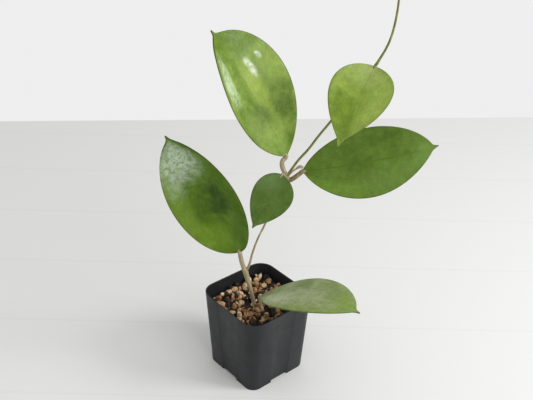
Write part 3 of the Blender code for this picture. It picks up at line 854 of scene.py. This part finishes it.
def make_leaves(stalk_wood, stalk_green):
    stalk_brown = bark_skin("brown_stalk", (0.13, 0.095, 0.045), (0.24, 0.18, 0.09),
                            (0.42, 0.33, 0.20))
    back = leaf_back("leaf_back", (0.20, 0.29, 0.09), (0.13, 0.20, 0.05))
    dark = leaf_face(
        "left_leaf_face", (0.0593, 0.123, 0.00365), (0.1, 0.192, 0.00912), (0.137, 0.246, 0.0182),
        patches=((0.08, 0.48, 0.14, 0.34, (0.218, 0.347, 0.0365), 0.9),
                 (0.27, 0.22, 0.24, 0.12, (0.2, 0.337, 0.0228), 0.9),
                 (0.76, 0.36, 0.18, 0.22, (0.0638, 0.151, 0.00273), 0.85),
                 (0.33, 0.40, 0.14, 0.08, (0.0684, 0.137, 0.00365), 0.7),
                 (0.55, 0.43, 0.15, 0.11, (0.02, 0.0565, 0.00182), 0.95)),
        # painted highlight: a whitish, wrinkled sheen from the tip down the blade and a faint one
        # on the left, standing for reflected light
        painted_sheen=((0.36, 0.75, 0.42, 0.17, (0.547, 0.656, 0.492), 0.95),
               (0.16, 0.58, 0.14, 0.08, (0.547, 0.656, 0.492), 0.3)))
    make_leaf("left_leaf_blade", "left_leaf", (dark, back), stalk_wood,
              stalk=((-5.4, -10.6, 99.5, 2.0), (-6.2, -12.6, 107.3, 1.9),
                     (-6.6, -13.6, 113.0, 1.85)),
              base=(-6.7, -14.4, 117.4), heading=97, pitch=58, roll=-68.5,
              length=117.4, width=64.3, base_fullness=0.52, tip_fullness=0.65,
              bend=-35.8, cup=38.0, twist=-6.2, lean=-0.118, seed=3)
    bright = leaf_face(
        "top_leaf_face", (0.115, 0.189, 0.0148), (0.18, 0.279, 0.041), (0.246, 0.353, 0.0656),
        patches=((0.66, 0.82, 0.40, 0.15, (0.107, 0.193, 0.0082), 0.9),
                 # painted light: this light green patch stands for the lit area beside the
                 # highlight
                 (0.90, 0.52, 0.13, 0.15, (0.287, 0.402, 0.0738), 0.85),
                 (0.24, 0.33, 0.16, 0.12, (0.238, 0.336, 0.082), 0.75),
                 (0.55, 0.14, 0.22, 0.12, (0.221, 0.344, 0.0574), 0.75),
                 (0.60, 0.53, 0.11, 0.15, (0.361, 0.476, 0.0574), 0.6),
                 (0.84, 0.38, 0.15, 0.10, (0.082, 0.143, 0.0205), 0.9),
                 (0.48, 0.38, 0.11, 0.07, (0.0902, 0.156, 0.0287), 0.75)),
        # painted highlights: two small bright spots stand for the window's reflection, and a
        # painted sheen runs along the left margin
        painted_sheen=((0.68, 0.62, 0.045, 0.060, (0.80, 0.86, 0.72), 0.7),
               (0.84, 0.64, 0.030, 0.025, (0.85, 0.88, 0.80), 0.7),
               (0.20, 0.66, 0.13, 0.15, (0.55, 0.66, 0.42), 0.85)))
    make_leaf("top_leaf_blade", "top_leaf", (bright, back), stalk_wood,
              stalk=((15.7, 12.9, 189.0, 1.6), (15.9, 11.9, 190.9, 1.6),
                     (14.6, 9.9, 196.1, 1.9), (13.3, 10.4, 200.4, 1.8)),
              base=(14.0, 13.6, 205.0), heading=158, pitch=64, roll=-73,
              length=113.8, width=66.5, base_fullness=0.81, tip_fullness=0.55,
              bend=16.3, cup=29.5, twist=-34.0, lean=0.09, seed=5)
    deep = leaf_face(
        "right_leaf_face", (0.0616, 0.116, 0.00539), (0.0847, 0.154, 0.0108),
        (0.108, 0.193, 0.0216),
        patches=((0.88, 0.26, 0.15, 0.22, (0.154, 0.27, 0.0231), 0.9),
                 (0.50, 0.88, 0.55, 0.14, (0.154, 0.262, 0.0462), 0.8),
                 (0.80, 0.60, 0.20, 0.24, (0.123, 0.208, 0.0347), 0.75)),
        rough=(0.42, 0.56), rib=0.65)
    make_leaf("right_leaf_blade", "right_leaf", (deep, back), stalk_brown,
              stalk=((15.6, 13.7, 184.2, 1.9), (17.6, 16.0, 184.9, 2.0),
                     (19.8, 18.6, 187.3, 2.0), (21.4, 21.2, 189.8, 1.9)),
              base=(22.8, 23.7, 191.9), heading=-39.7, pitch=8.5, roll=81.3,
              length=110.5, width=59.3, base_fullness=0.75, tip_fullness=0.79,
              bend=22.5, cup=14.5, twist=-6.1, seed=7)
    blue = leaf_face(
        "small_leaf_face", (0.0486, 0.0972, 0.00648), (0.068, 0.126, 0.0156),
        (0.0907, 0.159, 0.0292),
        patches=((0.75, 0.20, 0.35, 0.18, (0.11, 0.175, 0.0518), 0.75),
                 (0.70, 0.75, 0.30, 0.20, (0.0454, 0.094, 0.00648), 0.7)),
        rough=(0.42, 0.55), specks=0.2)
    make_leaf("small_leaf_blade", "small_leaf", (blue, back), stalk_wood,
              stalk=((16.2, 12.4, 187.6, 1.1), (16.8, 10.7, 188.6, 1.0),
                     (17.4, 9.0, 191.2, 1.0), (17.9, 7.3, 193.3, 1.0)),
              base=(18.2, 6.0, 193.0), heading=187, pitch=-51, roll=-64.7,
              length=46.5, width=36.9, base_fullness=0.57, tip_fullness=0.93,
              bend=9.8, cup=14.7, twist=3.0, thickness=1.1, ripple=0.35, seed=9)
    lime = leaf_face(
        "vine_leaf_face", (0.17, 0.27, 0.022), (0.23, 0.34, 0.040), (0.31, 0.44, 0.07),
        patches=((0.60, 0.13, 0.55, 0.20, (0.47, 0.56, 0.20), 0.9),
                 (0.15, 0.44, 0.24, 0.36, (0.46, 0.60, 0.12), 0.9),
                 (0.86, 0.52, 0.14, 0.13, (0.16, 0.25, 0.018), 0.7),
                 (0.50, 0.82, 0.35, 0.13, (0.17, 0.28, 0.028), 0.75)))
    make_leaf("vine_leaf_blade", "vine_leaf", (lime, back), stalk_green,
              stalk=((55.7, 57.9, 279.6, 1.0), (56.6, 56.6, 279.8, 1.0),
                     (57.2, 56.3, 280.4, 1.0)),
              base=(57.4, 55.8, 280.8), heading=196, pitch=-36.5, roll=-10.0,
              length=63.8, width=47.5, base_fullness=0.56, tip_fullness=1.0,
              bend=17.4, cup=23.3, twist=-3.3, thickness=1.1, ripple=0.5, seed=11)
    grey = leaf_face(
        "lower_leaf_face", (0.192, 0.258, 0.078), (0.264, 0.33, 0.12), (0.36, 0.42, 0.192),
        patches=((0.30, 0.60, 0.24, 0.16, (0.204, 0.276, 0.084), 0.75),
                 (0.40, 0.86, 0.60, 0.15, (0.228, 0.348, 0.048), 0.9),
                 (0.95, 0.54, 0.12, 0.22, (0.228, 0.324, 0.054), 0.85)),
        # painted sheen: greyish bands of reflected light painted along the middle of the blade
        painted_sheen=((0.76, 0.34, 0.26, 0.16, (0.504, 0.564, 0.348), 0.9),
               (0.52, 0.52, 0.22, 0.14, (0.384, 0.444, 0.24), 0.7)),
        rough=(0.34, 0.5))
    make_leaf("lower_leaf_blade", "lower_leaf", (grey, back), stalk_wood,
              stalk=((8.6, -1.9, 60.6, 1.5), (6.6, -1.6, 65.5, 1.4), (4.6, -1.7, 69.4, 1.4)),
              base=(4.3, -1.8, 72.5), heading=-82.3, pitch=41.2, roll=5.5,
              length=106.7, width=57.2, base_fullness=1.04, tip_fullness=0.75,
              bend=43.0, cup=2.0, twist=12.4, seed=13)
    tip = {"thickness": 0.6, "ripple": 0.0, "levels": 1, "base_fullness": 0.8,
           "tip_fullness": 0.9, "bend": -30, "cup": 45, "twist": 1, "roll": 0}
    make_leaf("tip_leaf_1_blade", "tip_leaf_1", (lime, back), stalk_green,
              stalk=((57.9, 61.0, 364.2, 0.4), (58.9, 60.6, 365.2, 0.4)),
              base=(59.0, 60.4, 366.2), heading=-75, pitch=78, length=8.5, width=2.8, **tip)
    make_leaf("tip_leaf_2_blade", "tip_leaf_2", (lime, back), stalk_green,
              stalk=((56.8, 60.9, 364.2, 0.4), (55.7, 61.2, 365.2, 0.4)),
              base=(55.5, 61.1, 366.2), heading=105, pitch=82, length=7.5, width=2.6, **tip)


# ---------------------------------------------------------------- mix and grains


def inside_pot(x, y, margin):
    """True where a spot lies inside the pot's wall at the mix's height."""
    half = pot_side(MIX_TOP) / 2 - POT_WALL - margin
    corner = pot_corner(MIX_TOP) - margin
    over_x = max(0.0, abs(x) - (half - corner))
    over_y = max(0.0, abs(y) - (half - corner))
    return math.hypot(over_x, over_y) < corner


def grain_shapes(seed):
    """A few broken shapes, each cut flat on some sides, to copy from."""
    chance = random.Random(seed)
    shapes = []
    for _ in range(GRAIN_KINDS):
        bpy.ops.mesh.primitive_ico_sphere_add(subdivisions=2, radius=1)
        shape = bpy.context.object
        edit(shape)
        for _ in range(GRAIN_CUTS):
            way = Vector([chance.uniform(-1, 1) for _ in range(3)]).normalized()
            bpy.ops.mesh.select_all(action="SELECT")
            bpy.ops.mesh.bisect(plane_co=way * chance.uniform(0.45, 0.8), plane_no=way,
                                use_fill=True, clear_outer=True)
        leave_edit()
        clean(shape, 0.01)
        shapes.append(shape)
    return shapes


def scatter(name, material, shapes, spots):
    """Copies of the shapes at the spots, joined into one piece."""
    copies = []
    for index, (centre, size, turn) in enumerate(spots):
        source = shapes[index % len(shapes)]
        copy = bpy.data.objects.new(name, source.data.copy())
        bpy.context.scene.collection.objects.link(copy)
        copy.scale = Vector(size) * MM
        copy.rotation_euler = turn
        copy.location = Vector(centre) * MM
        copies.append(copy)
    bpy.context.view_layer.update()
    piece = join(copies)
    place(piece)
    piece.data.materials.clear()
    piece.data.materials.append(material)
    smooth(piece, 25)
    finish_piece(piece, name)


def make_mix(frame, materials):
    chance = random.Random(LOOSE_SEED)
    shapes = grain_shapes(LOOSE_SEED)
    spots = {kind: [] for kind in materials}
    kinds = ("pumice", "bark", "charcoal", "bark", "pumice", "charcoal")
    for count, low, high, small, large in LOOSE_LAYERS:
        made = 0
        while made < count:
            x, y = (chance.uniform(-LOOSE_REACH, LOOSE_REACH) for _ in range(2))
            size = chance.uniform(small, large)
            if not inside_pot(x, y, size * LOOSE_MARGIN):
                continue
            made += 1
            kind = kinds[chance.randrange(len(kinds))]
            shape = (size, size * chance.uniform(0.6, 0.95), size * chance.uniform(0.45, 0.8))
            turn = tuple(chance.uniform(0, math.tau) for _ in range(3))
            spots[kind].append(((x, y, chance.uniform(low, high)), shape, turn))
    nodes = frame["nodes"]
    for kind, material in materials.items():
        scatter("loose_" + kind, material, shapes, spots[kind])
        for name, node in nodes.items():
            if name.startswith(kind):
                node.data.materials.clear()
                node.data.materials.append(material)
    for shape in shapes:
        bpy.data.objects.remove(shape)


def main():
    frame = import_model()
    deselect()
    make_camera()
    make_floor()
    make_world()
    make_lights()
    wood = bark_skin("old_bark", (0.19, 0.145, 0.085), (0.41, 0.33, 0.215), (0.64, 0.54, 0.40),
                     green=(0.34, 0.29, 0.16))
    shoot = bark_skin("vine_skin", (0.13, 0.12, 0.030), (0.22, 0.235, 0.065), (0.33, 0.36, 0.12))
    make_pot(pot_plastic())
    make_stems(wood, shoot)
    make_leaves(wood, shoot)
    grains = {
        "pumice": grain_skin("pumice_skin", [(0.3, (0.45, 0.25, 0.12)), (0.5, (0.72, 0.48, 0.27)),
                                             (0.7, (0.88, 0.72, 0.52))], 0.5),
        "bark": grain_skin("bark_chip", [(0.3, (0.14, 0.065, 0.028)), (0.5, (0.38, 0.20, 0.09)),
                                         (0.7, (0.62, 0.36, 0.17))], 0.3),
        "charcoal": grain_skin("charcoal_skin", [(0.3, (0.012, 0.010, 0.009)),
                                                 (0.7, (0.045, 0.035, 0.028))], 0.2, 0.7),
    }
    make_mix(frame, grains)
    mix_skin = grain_skin("dark_mix", [(0.3, (0.015, 0.010, 0.007)), (0.7, (0.06, 0.04, 0.025))],
                          0.4)
    root_skin = grain_skin("root_skin", [(0.3, (0.35, 0.26, 0.16)), (0.7, (0.6, 0.5, 0.36))], 0.1)
    for name, material in (("potting_mix", mix_skin), ("roots", root_skin)):
        node = frame["nodes"][name]
        node.data.materials.clear()
        node.data.materials.append(material)
    bpy.context.scene.view_settings.view_transform = "Standard"


main()
